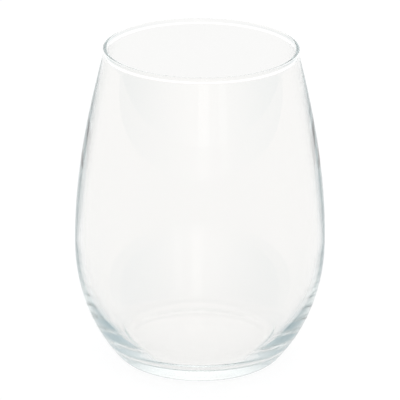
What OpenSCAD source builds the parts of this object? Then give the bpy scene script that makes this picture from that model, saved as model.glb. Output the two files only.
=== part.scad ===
// Stemless wine glass.
// One piece of clear glass, round about the Z axis: an egg-shaped bowl that
// stands on its own heavy base, with a rounded bead for a rim. The wall grows
// thicker from the neck down to the base.
// The origin is the centre of the ring that it stands on, and +Z points up.

/* [Bowl] */
// Height of the glass, from the table to the top of the rim
glass_h = 114; // [90:0.5:150]
// Outside diameter at the belly, where the bowl is widest
belly_d = 88; // [78:0.5:110]
// Height of the belly above the table
belly_h = 42.8; // [34:0.2:56]
// Share of the height from heel to belly that the curve rises along its heel slope
heel_pull_share = 0.34; // [0.15:0.01:0.5]
// Share of the height from heel to belly over which the belly holds its width
low_belly_share = 0.39; // [0.2:0.01:0.6]
// Share of the height from belly to neck over which the belly holds its width
high_belly_share = 0.395; // [0.2:0.005:0.6]
// Share of the height from belly to neck that follows the lean of the neck
neck_pull_share = 0.26; // [0.1:0.01:0.4]

/* [Rim] */
// Outside diameter of the rim
rim_d = 68; // [56:0.5:80]
// Thickness of the bead that finishes the rim
bead_t = 2.4; // [1.6:0.1:4]
// Height of the bead, from the plain wall to its top
bead_h = 3.4; // [2.6:0.1:6]
// How far the bead stands out from the line of the wall
bead_swell = 0.3; // [0:0.05:0.8]
// Share of the height under the bead's round top over which each end of its swell runs straight
bead_pull_share = 0.35; // [0.1:0.05:0.6]
// Angle that the neck leans inwards from the vertical, in degrees
neck_lean = 14; // [0:1:20]

/* [Base] */
// Diameter of the foot, where the heel leaves the flat
foot_d = 49.6; // [44:0.2:60]
// Width of the flat ring that touches the table
ring_w = 0.8; // [0.4:0.1:4]
// Depth of the hollow under the base
punt_depth = 0.5; // [0.3:0.1:2]
// Radius of the round between the flat ring and the hollow
punt_edge_r = 3.7; // [1:0.1:6]
// Radius of the rounded heel
heel_r = 7; // [2:0.1:9]
// Slope of the wall where it leaves the heel, in degrees up from the table
heel_slope = 50.5; // [40:0.5:60]

/* [Wall] */
// Thickness of the glass at the centre of the base
base_t = 6.5; // [4:0.1:10]
// Thickness of the wall at the belly
belly_wall = 2.55; // [1.8:0.05:4]
// Thickness of the wall at the neck, under the bead
neck_wall = 1.3; // [0.9:0.05:2.4]
// Height of the cavity's widest ring above the belly outside
cavity_rise = 2; // [0:0.1:6]

/* [Floor of the bowl] */
// Diameter of the bowl's floor, out to where its corner begins
floor_d = 48.4; // [36:0.2:52]
// How far the floor dishes down from its edge to its centre
floor_dish = 0.4; // [0.1:0.1:2]
// Radius of the corner between the floor and the wall of the bowl
corner_r = 7.7; // [3:0.1:9]
// Slope of the bowl where it leaves the corner, in degrees up from the table
corner_slope = 53.7; // [45:0.1:60]
// Share of the height from corner to widest ring that the bowl rises along its corner slope
corner_pull_share = 0.24; // [0.1:0.01:0.4]
// Share of the height from corner to widest ring over which the bowl holds its width
low_cavity_share = 0.52; // [0.3:0.01:0.6]

/* [Hidden] */

// Steps along each long curve, along each short one, and sides of the round
curve_steps = 18;
short_steps = 6;
round_sides = 72;

foot_r = foot_d / 2;
belly_r = belly_d / 2;
rim_r = rim_d / 2;

// The heel is an arc from the flat up to the slope of the wall.
heel_end = [
    foot_r + heel_r * sin(heel_slope),
    heel_r - heel_r * cos(heel_slope)
];

// The bead is round on top, and its centre is half its thickness down.
bead_r = bead_t / 2;
bead_c = [rim_r - bead_r, glass_h - bead_r];

// The neck is the ring where the plain wall begins, under the bead.
neck_z = glass_h - bead_h;
neck_r = rim_r - bead_swell + (bead_h - bead_r) * tan(neck_lean);
neck_out = [neck_r, neck_z];
neck_in = neck_out - neck_wall * [cos(neck_lean), sin(neck_lean)];
neck_way = [sin(neck_lean), -cos(neck_lean)];
bead_pull = bead_pull_share * (bead_h - bead_r);

low_rise = belly_h - heel_end[1];
high_rise = neck_z - belly_h;
belly_out = [belly_r, belly_h];

// The cavity's floor is a shallow dish, lowest above the centre of the base.
floor_z = punt_depth + base_t;
floor_r = floor_d / 2;
dish_r = (floor_r * floor_r + floor_dish * floor_dish) / (2 * floor_dish);
dish_angle = asin(floor_r / dish_r);
dish_c = [0, floor_z + dish_r];

// Its corner is an arc that leaves the dish square to the same radius.
corner_c = [floor_r, floor_z + floor_dish] + corner_r * [-sin(dish_angle), cos(dish_angle)];
corner_way = [cos(corner_slope), sin(corner_slope)];
corner_end = corner_c + corner_r * [sin(corner_slope), -cos(corner_slope)];

cavity_r = belly_r - belly_wall;
cavity_z = belly_h + cavity_rise;
cavity_drop = cavity_z - corner_end[1];
cavity_top = neck_in[1] - cavity_z;
cavity_belly = [cavity_r, cavity_z];

// The hollow under the base is a shallow cap of a sphere, rounded into the ring.
punt_r = foot_r - ring_w;
dome_r = (punt_r * punt_r + punt_depth * punt_depth) / (2 * punt_depth) - punt_edge_r;
dome_angle = asin(punt_r / (dome_r + punt_edge_r));

// One point of a cubic curve whose ends are a and d, drawn towards b and c
function on_curve(a, b, c, d, t) =
    pow(1 - t, 3) * a
    + 3 * pow(1 - t, 2) * t * b
    + 3 * (1 - t) * t * t * c
    + pow(t, 3) * d;

// The points of such a curve, without its first
function curve(a, b, c, d, steps) =
    [for (i = [1 : steps]) on_curve(a, b, c, d, i / steps)];

// The points of an arc about c, from one angle to another, without its first
function arc(c, r, from, to, steps) =
    [for (i = [1 : steps])
        let (a = from + (to - from) * i / steps)
        c + r * [cos(a), sin(a)]];

// Up the outside: heel, lower bowl, upper bowl, and the swell into the bead
function outside() = concat(
    [[foot_r, 0]],
    arc([foot_r, heel_r], heel_r, -90, heel_slope - 90, short_steps),
    curve(
        heel_end,
        heel_end + heel_pull_share * low_rise * [cos(heel_slope), sin(heel_slope)],
        belly_out - [0, low_belly_share * low_rise],
        belly_out,
        curve_steps
    ),
    curve(
        belly_out,
        belly_out + [0, high_belly_share * high_rise],
        neck_out + neck_pull_share * high_rise / cos(neck_lean) * neck_way,
        neck_out,
        curve_steps
    ),
    curve(
        neck_out,
        neck_out - bead_pull * neck_way,
        [rim_r, bead_c[1] - bead_pull],
        [rim_r, bead_c[1]],
        short_steps
    )
);

// Down the inside: bead, upper cavity, lower cavity, corner, to the floor's centre
function inside() = concat(
    curve(
        [rim_r - bead_t, bead_c[1]],
        [rim_r - bead_t, bead_c[1] - bead_pull],
        neck_in - bead_pull * neck_way,
        neck_in,
        short_steps
    ),
    curve(
        neck_in,
        neck_in + neck_pull_share * cavity_top / cos(neck_lean) * neck_way,
        cavity_belly + [0, high_belly_share * cavity_top],
        cavity_belly,
        curve_steps
    ),
    curve(
        cavity_belly,
        cavity_belly - [0, low_cavity_share * cavity_drop],
        corner_end + corner_pull_share * cavity_drop * corner_way,
        corner_end,
        curve_steps
    ),
    arc(corner_c, corner_r, corner_slope - 90, dish_angle - 90, short_steps),
    arc(dish_c, dish_r, dish_angle - 90, -90, short_steps)
);

// Under the base: the hollow, from its centre out, and its round down to the flat ring
function underside() = concat(
    [[0, punt_depth]],
    arc([0, punt_depth - dome_r], dome_r, 90, 90 - dome_angle, short_steps),
    arc([punt_r, punt_edge_r], punt_edge_r, 270 - dome_angle, 270, short_steps)
);

function outline() = concat(
    underside(),
    outside(),
    arc(bead_c, bead_r, 0, 180, 2 * short_steps),
    inside()
);

// The glass: its outline turned once round
module glass() {
    color([0.84, 0.91, 0.90])
        rotate_extrude($fn = round_sides)
            polygon(outline());
}

glass();
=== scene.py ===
"""A stemless wine glass on a white table: one piece of clear glass, turned about the Z axis."""

from math import asin, cos, pi, radians, sin, tan

import bpy
from mathutils import Matrix, Vector


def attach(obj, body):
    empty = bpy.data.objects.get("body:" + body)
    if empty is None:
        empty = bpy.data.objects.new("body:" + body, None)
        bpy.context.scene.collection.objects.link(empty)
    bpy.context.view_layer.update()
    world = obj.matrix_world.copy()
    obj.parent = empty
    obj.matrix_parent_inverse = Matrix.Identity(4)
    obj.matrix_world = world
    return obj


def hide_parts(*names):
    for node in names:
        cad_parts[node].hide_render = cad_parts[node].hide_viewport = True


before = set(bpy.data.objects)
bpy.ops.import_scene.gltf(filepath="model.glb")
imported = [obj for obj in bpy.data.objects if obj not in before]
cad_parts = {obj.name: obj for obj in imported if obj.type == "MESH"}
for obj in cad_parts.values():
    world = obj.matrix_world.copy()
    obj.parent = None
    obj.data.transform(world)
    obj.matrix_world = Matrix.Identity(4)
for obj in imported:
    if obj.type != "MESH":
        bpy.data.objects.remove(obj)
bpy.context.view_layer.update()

MM = 0.001

# The sizes are part.scad's, apart from the bead, the neck's wall, the hollow under the
# base and the dish of the floor. Those were set against the photo, and each length
# differs from the solid's by 1 mm or less. A share sets how far a curve is drawn along
# its direction at one end, as a part of its rise.

# Bowl: overall height, and the belly where it is widest
GLASS_H = 114 * MM
BELLY_D = 88 * MM
BELLY_H = 42.8 * MM
HEEL_PULL_SHARE = 0.34
LOW_BELLY_SHARE = 0.39
HIGH_BELLY_SHARE = 0.395
NECK_PULL_SHARE = 0.26

# Rim: a bead that stands out a little from the leaning neck
RIM_D = 68 * MM
BEAD_T = 1.6 * MM
BEAD_H = 2.4 * MM
BEAD_SWELL = 0.6 * MM
BEAD_PULL_SHARE = 0.45
NECK_LEAN = radians(14)

# Base: the flat ring that it stands on, the hollow inside that, and the round heel
FOOT_D = 49.6 * MM
RING_W = 0.8 * MM
PUNT_DEPTH = 0.25 * MM
PUNT_EDGE_R = 3.7 * MM
HEEL_R = 7 * MM
HEEL_SLOPE = radians(50.5)

# Wall: its thickness at base, belly and neck, and the cavity's widest ring above the belly
BASE_T = 6.5 * MM
BELLY_WALL = 2.55 * MM
NECK_WALL = 0.95 * MM
CAVITY_RISE = 2 * MM

# Floor of the bowl: a shallow dish and the corner round it
FLOOR_D = 48.4 * MM
FLOOR_DISH = 0.12 * MM
CORNER_R = 7.7 * MM
CORNER_SLOPE = radians(53.7)
CORNER_PULL_SHARE = 0.24
LOW_CAVITY_SHARE = 0.52

# Steps of the mesh along its curves, and round the axis
CURVE_STEPS = 38
FLAT_STEPS = 8
SHORT_STEPS = 11
ROUND_STEPS = 396

# Points and directions of the outline are (distance from the axis, height).
UP = Vector((0, 1))

FOOT_R = FOOT_D / 2
HEEL_END = Vector((FOOT_R + HEEL_R * sin(HEEL_SLOPE), HEEL_R - HEEL_R * cos(HEEL_SLOPE)))
HEEL_WAY = Vector((cos(HEEL_SLOPE), sin(HEEL_SLOPE)))

# The bead is round on top, and its centre is half its thickness down.
RIM_R = RIM_D / 2
BEAD_R = BEAD_T / 2
BEAD_C = Vector((RIM_R - BEAD_R, GLASS_H - BEAD_R))
BEAD_OUT = Vector((RIM_R, BEAD_C.y))
BEAD_IN = Vector((RIM_R - BEAD_T, BEAD_C.y))
BEAD_PULL = BEAD_PULL_SHARE * (BEAD_H - BEAD_R)

# The neck is the ring where the plain wall begins, under the bead.
NECK_Z = GLASS_H - BEAD_H
NECK_R = RIM_R - BEAD_SWELL + (BEAD_H - BEAD_R) * tan(NECK_LEAN)
NECK_OUT = Vector((NECK_R, NECK_Z))
NECK_IN = NECK_OUT - NECK_WALL * Vector((cos(NECK_LEAN), sin(NECK_LEAN)))
DOWN_NECK = Vector((sin(NECK_LEAN), -cos(NECK_LEAN)))

BELLY_OUT = Vector((BELLY_D / 2, BELLY_H))
BELLY_IN = Vector((BELLY_D / 2 - BELLY_WALL, BELLY_H + CAVITY_RISE))
LOW_RISE = BELLY_H - HEEL_END.y
HIGH_RISE = NECK_Z - BELLY_H
CAVITY_TOP = NECK_IN.y - BELLY_IN.y

# The cavity's floor is a cap of a large sphere, lowest above the centre of the base.
FLOOR_R = FLOOR_D / 2
FLOOR_Z = PUNT_DEPTH + BASE_T
DISH_R = (FLOOR_R**2 + FLOOR_DISH**2) / (2 * FLOOR_DISH)
DISH_C = Vector((0, FLOOR_Z + DISH_R))
DISH_ANGLE = asin(FLOOR_R / DISH_R)
FLOOR_EDGE = Vector((FLOOR_R, FLOOR_Z + FLOOR_DISH))

# Its corner is an arc that leaves the dish square to the same radius.
CORNER_C = FLOOR_EDGE + CORNER_R * Vector((-sin(DISH_ANGLE), cos(DISH_ANGLE)))
CORNER_END = CORNER_C + CORNER_R * Vector((sin(CORNER_SLOPE), -cos(CORNER_SLOPE)))
CORNER_WAY = Vector((cos(CORNER_SLOPE), sin(CORNER_SLOPE)))
CAVITY_DROP = BELLY_IN.y - CORNER_END.y

# The hollow under the base is such a cap too, rounded into the flat ring.
PUNT_R = FOOT_R - RING_W
DOME_R = (PUNT_R**2 + PUNT_DEPTH**2) / (2 * PUNT_DEPTH) - PUNT_EDGE_R
DOME_ANGLE = asin(PUNT_R / (DOME_R + PUNT_EDGE_R))


def curve(a, b, c, d, steps):
    """Points of a cubic curve from a to d, drawn towards b and c, without its first."""
    points = []
    for i in range(1, steps + 1):
        t = i / steps
        s = 1 - t
        points.append(s**3 * a + 3 * s * s * t * b + 3 * s * t * t * c + t**3 * d)
    return points


def arc(centre, radius, start, end, steps):
    """Points of an arc from one angle to another, without its first."""
    angles = [start + (end - start) * i / steps for i in range(1, steps + 1)]
    return [centre + radius * Vector((cos(a), sin(a))) for a in angles]


def underside():
    """The hollow from its centre out, and its round down to the flat ring."""
    down = 3 * pi / 2
    dome_c = Vector((0, PUNT_DEPTH - DOME_R))
    edge_c = Vector((PUNT_R, PUNT_EDGE_R))
    points = [Vector((0, PUNT_DEPTH))]
    points += arc(dome_c, DOME_R, pi / 2, pi / 2 - DOME_ANGLE, FLAT_STEPS)
    points += arc(edge_c, PUNT_EDGE_R, down - DOME_ANGLE, down, SHORT_STEPS)
    return points


def outside():
    """Up the heel, the lower bowl and the upper bowl, and out into the bead."""
    heel_c = Vector((FOOT_R, HEEL_R))
    points = [Vector((FOOT_R, 0))]
    points += arc(heel_c, HEEL_R, -pi / 2, HEEL_SLOPE - pi / 2, SHORT_STEPS)
    points += curve(
        HEEL_END,
        HEEL_END + HEEL_PULL_SHARE * LOW_RISE * HEEL_WAY,
        BELLY_OUT - LOW_BELLY_SHARE * LOW_RISE * UP,
        BELLY_OUT,
        CURVE_STEPS,
    )
    points += curve(
        BELLY_OUT,
        BELLY_OUT + HIGH_BELLY_SHARE * HIGH_RISE * UP,
        NECK_OUT + NECK_PULL_SHARE * HIGH_RISE / cos(NECK_LEAN) * DOWN_NECK,
        NECK_OUT,
        CURVE_STEPS,
    )
    points += curve(
        NECK_OUT,
        NECK_OUT - BEAD_PULL * DOWN_NECK,
        BEAD_OUT - BEAD_PULL * UP,
        BEAD_OUT,
        SHORT_STEPS,
    )
    return points


def inside():
    """Down from the bead, along the cavity and its corner, to the floor's centre."""
    points = curve(
        BEAD_IN,
        BEAD_IN - BEAD_PULL * UP,
        NECK_IN - BEAD_PULL * DOWN_NECK,
        NECK_IN,
        SHORT_STEPS,
    )
    points += curve(
        NECK_IN,
        NECK_IN + NECK_PULL_SHARE * CAVITY_TOP / cos(NECK_LEAN) * DOWN_NECK,
        BELLY_IN + HIGH_BELLY_SHARE * CAVITY_TOP * UP,
        BELLY_IN,
        CURVE_STEPS,
    )
    points += curve(
        BELLY_IN,
        BELLY_IN - LOW_CAVITY_SHARE * CAVITY_DROP * UP,
        CORNER_END + CORNER_PULL_SHARE * CAVITY_DROP * CORNER_WAY,
        CORNER_END,
        CURVE_STEPS,
    )
    points += arc(CORNER_C, CORNER_R, CORNER_SLOPE - pi / 2, DISH_ANGLE - pi / 2, SHORT_STEPS)
    points += arc(DISH_C, DISH_R, DISH_ANGLE - pi / 2, -pi / 2, FLAT_STEPS)
    return points


def turned(name, points):
    """A closed mesh turned about Z from points whose first and last lie on the axis."""
    rings = points[1:-1]
    verts = [(0, 0, points[0].y), (0, 0, points[-1].y)]
    for p in rings:
        for k in range(ROUND_STEPS):
            a = 2 * pi * k / ROUND_STEPS
            verts.append((p.x * cos(a), p.x * sin(a), p.y))

    def at(ring, k):
        """The place of a ring's point in the list, counted round and round."""
        return 2 + ring * ROUND_STEPS + k % ROUND_STEPS

    faces = []
    last = len(rings) - 1
    for k in range(ROUND_STEPS):
        faces.append((0, at(0, k + 1), at(0, k)))
        for ring in range(last):
            faces.append((at(ring, k), at(ring, k + 1), at(ring + 1, k + 1), at(ring + 1, k)))
        faces.append((1, at(last, k), at(last, k + 1)))
    mesh = bpy.data.meshes.new(name)
    mesh.from_pydata(verts, [], faces)
    mesh.validate()
    mesh.shade_smooth()
    piece = bpy.data.objects.new(name, mesh)
    bpy.context.collection.objects.link(piece)
    return piece


def fill(tree, node, inputs):
    """Sets a node's inputs, given by name or place: sockets are linked, the rest are values."""
    for key, value in inputs.items():
        if isinstance(value, bpy.types.NodeSocket):
            tree.links.new(value, node.inputs[key])
        else:
            node.inputs[key].default_value = value


def add_node(tree, kind, inputs, **settings):
    """A new node of a tree, with its settings and inputs."""
    node = tree.nodes.new(kind)
    for name, setting in settings.items():
        setattr(node, name, setting)
    fill(tree, node, inputs)
    return node


def math_node(tree, operation, *values, clamp=False):
    """The output of a Math node."""
    inputs = dict(enumerate(values))
    return add_node(tree, "ShaderNodeMath", inputs, operation=operation, use_clamp=clamp).outputs[0]


def vector_node(tree, operation, *values):
    """The output of a Vector Math node."""
    inputs = dict(enumerate(values))
    return add_node(tree, "ShaderNodeVectorMath", inputs, operation=operation).outputs[0]


def scaled(tree, colour, amount):
    """A constant colour times the number that a socket gives."""
    inputs = {0: colour, "Scale": amount}
    return add_node(tree, "ShaderNodeVectorMath", inputs, operation="SCALE").outputs[0]


def grey(level):
    """A colour without hue."""
    return (level,) * 3


# Glass: the colour that its surface lets through, and the one that a long way through it leaves
CLEAR = (1.0, 0.993, 0.984, 1)
TINT = (0.641, 0.698, 0.698, 1)
TINT_DENSITY = 10.0
ROUGHNESS = 0.0
REFRACTION = 1.52
# Faint waves that blowing leaves in the surface: how many to a metre, and how high
WAVES = 42.0
WAVE_DETAIL = 1.0
WAVE_HEIGHT = 0.02 * MM
# Fainter streaks, drawn out along the height: how many to a metre each way, and how high
STREAKS = (60.0, 60.0, 9.0)
STREAK_DETAIL = 2.0
STREAK_HEIGHT = 0.006 * MM
# The streaks' coordinates are stretched already, so their noise isn't scaled again.
UNSCALED = 1.0


def clear_glass():
    """Clear soda-lime glass, faintly blue-green where light runs a long way through it."""
    material = bpy.data.materials.new("clear_glass")
    material.use_nodes = True
    tree = material.node_tree
    place = add_node(tree, "ShaderNodeTexCoord", {}).outputs["Object"]
    waves = {"Vector": place, "Scale": WAVES, "Detail": WAVE_DETAIL}
    wavy = {
        "Height": add_node(tree, "ShaderNodeTexNoise", waves).outputs["Fac"],
        "Distance": WAVE_HEIGHT,
    }
    drawn_out = vector_node(tree, "MULTIPLY", place, STREAKS)
    streaks = {"Vector": drawn_out, "Scale": UNSCALED, "Detail": STREAK_DETAIL}
    streaky = {
        "Height": add_node(tree, "ShaderNodeTexNoise", streaks).outputs["Fac"],
        "Distance": STREAK_HEIGHT,
        "Normal": add_node(tree, "ShaderNodeBump", wavy).outputs["Normal"],
    }
    surface = {
        "Base Color": CLEAR,
        "Roughness": ROUGHNESS,
        "IOR": REFRACTION,
        "Transmission Weight": 1.0,
        "Normal": add_node(tree, "ShaderNodeBump", streaky).outputs["Normal"],
    }
    fill(tree, tree.nodes["Principled BSDF"], surface)
    absorb = add_node(tree, "ShaderNodeVolumeAbsorption", {"Color": TINT, "Density": TINT_DENSITY})
    fill(tree, tree.nodes["Material Output"], {"Volume": absorb.outputs["Volume"]})
    return material


bead = arc(BEAD_C, BEAD_R, 0, pi, 2 * SHORT_STEPS)
glass = turned("wine_glass", underside() + outside() + bead + inside())
glass.data.materials.append(clear_glass())
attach(glass, "root")
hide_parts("glass")


# Table: half its side, and how far it is below the foot, in metres
FLOOR_HALF = 4.0
FLOOR_DROP = 0.0002
# Its colour under the lights, and its own glow as the camera and as the glass see it
FLOOR_SHADE = (0.12, 0.12, 0.12, 1)
FLOOR_GLOW = 0.92
GLASS_GLOW = 0.84


def white_table():
    """A plain pale table that glows to the camera and the glass, and still takes a shadow."""
    material = bpy.data.materials.new("white_table")
    material.use_nodes = True
    tree = material.node_tree
    tree.nodes.clear()
    path = add_node(tree, "ShaderNodeLightPath", {}).outputs
    by_glass = math_node(
        tree, "ADD", path["Is Glossy Ray"], path["Is Transmission Ray"], clamp=True
    )
    to_camera = math_node(tree, "MULTIPLY", path["Is Camera Ray"], FLOOR_GLOW)
    to_glass = math_node(tree, "MULTIPLY", by_glass, GLASS_GLOW)
    strength = math_node(tree, "ADD", to_camera, to_glass)
    glow = add_node(tree, "ShaderNodeEmission", {"Strength": strength})
    matt = add_node(tree, "ShaderNodeBsdfDiffuse", {"Color": FLOOR_SHADE})
    both = add_node(tree, "ShaderNodeAddShader", {0: matt.outputs[0], 1: glow.outputs[0]})
    add_node(tree, "ShaderNodeOutputMaterial", {"Surface": both.outputs[0]})
    return material


def add_floor():
    """The flat table that the glass stands on."""
    sides = ((-1, -1), (1, -1), (1, 1), (-1, 1))
    corners = [(x * FLOOR_HALF, y * FLOOR_HALF, 0) for x, y in sides]
    mesh = bpy.data.meshes.new("floor")
    mesh.from_pydata(corners, [], [(0, 1, 2, 3)])
    mesh.materials.append(white_table())
    floor = bpy.data.objects.new("floor", mesh)
    floor.location.z = -FLOOR_DROP
    bpy.context.collection.objects.link(floor)


# Studio: its plain level, what the front and back add to it, and what each side takes away
WORLD_LIGHT = 1.11
FRONT_GAIN = 0.06
BACK_GAIN = 0.24
LEFT_SHADE = (0.82, 0.67, 0.62)
RIGHT_SHADE = (0.74, 0.58, 0.52)
# Two upright soft lights in front: where each leans to, its half width and its gain
LAMPS = ((0.05, 0.12, 0.3), (0.4, 0.08, 0.2))
# Share of a light's half width over which its edge fades
LAMP_EDGE = 0.4


def studio():
    """Soft light, weaker from the sides, in a room that the camera sees as plain white."""
    world = bpy.data.worlds.new("studio")
    world.use_nodes = True
    tree = world.node_tree
    way = add_node(tree, "ShaderNodeTexCoord", {}).outputs["Generated"]
    lean = add_node(tree, "ShaderNodeSeparateXYZ", {0: way}).outputs

    def side(axis, sign):
        """How far a direction leans to one side, squared."""
        one_way = math_node(tree, "MAXIMUM", math_node(tree, "MULTIPLY", lean[axis], sign), 0.0)
        return math_node(tree, "POWER", one_way, 2.0)

    left = scaled(tree, LEFT_SHADE, side("X", -1.0))
    right = scaled(tree, RIGHT_SHADE, side("X", 1.0))
    front = scaled(tree, grey(FRONT_GAIN), side("Y", -1.0))
    back = scaled(tree, grey(BACK_GAIN), side("Y", 1.0))
    light = vector_node(tree, "SUBTRACT", grey(WORLD_LIGHT), left)
    light = vector_node(tree, "SUBTRACT", light, right)
    light = vector_node(tree, "ADD", light, front)
    light = vector_node(tree, "ADD", light, back)

    in_front = math_node(tree, "LESS_THAN", lean["Y"], 0.0)
    for centre, half_width, gain in LAMPS:
        offset = math_node(tree, "ABSOLUTE", math_node(tree, "SUBTRACT", lean["X"], centre))
        from_edge = math_node(tree, "SUBTRACT", half_width, offset)
        mask = math_node(tree, "DIVIDE", from_edge, LAMP_EDGE * half_width, clamp=True)
        lamp = math_node(tree, "MULTIPLY", mask, in_front)
        light = vector_node(tree, "ADD", light, scaled(tree, grey(gain), lamp))

    sight = add_node(tree, "ShaderNodeLightPath", {}).outputs["Is Camera Ray"]
    choice = {"Factor": sight, "A": light, "B": (1, 1, 1, 1)}
    seen = add_node(tree, "ShaderNodeMix", choice, data_type="RGBA").outputs["Result"]
    fill(tree, tree.nodes["Background"], {"Color": seen, "Strength": 1.0})
    return world


# Camera: how far off, how steeply it looks down, and how far it is turned about its own axis
CAMERA_DISTANCE = 1.1
CAMERA_TILT = radians(20.81)
CAMERA_ROLL = radians(0.40)
# The point that it looks at, the photo's width and scale in pixels, and a sensor width in mm
AIM = Vector((-0.00008, 0, 0.0577))
FRAME_PIXELS = 400
PIXELS_PER_METRE = 2852.5
SENSOR = 36.0


def photo_camera():
    """The camera at the photo's angle."""
    camera_data = bpy.data.cameras.new("camera")
    camera = bpy.data.objects.new("camera", camera_data)
    bpy.context.collection.objects.link(camera)
    camera.location = AIM + CAMERA_DISTANCE * Vector((0, -cos(CAMERA_TILT), sin(CAMERA_TILT)))
    look = Matrix.Rotation(pi / 2 - CAMERA_TILT, 4, "X")
    roll = Matrix.Rotation(CAMERA_ROLL, 4, "Z")
    camera.rotation_euler = (look @ roll).to_euler()
    camera_data.sensor_width = SENSOR
    camera_data.lens = SENSOR * PIXELS_PER_METRE * CAMERA_DISTANCE / FRAME_PIXELS
    return camera


# A ray may meet the glass many times at the edges and the base before it gets out.
BOUNCES = 96

add_floor()
scene = bpy.context.scene
scene.world = studio()
scene.camera = photo_camera()
scene.view_settings.view_transform = "Standard"
scene.cycles.max_bounces = BOUNCES
scene.cycles.transmission_bounces = BOUNCES
scene.cycles.glossy_bounces = BOUNCES
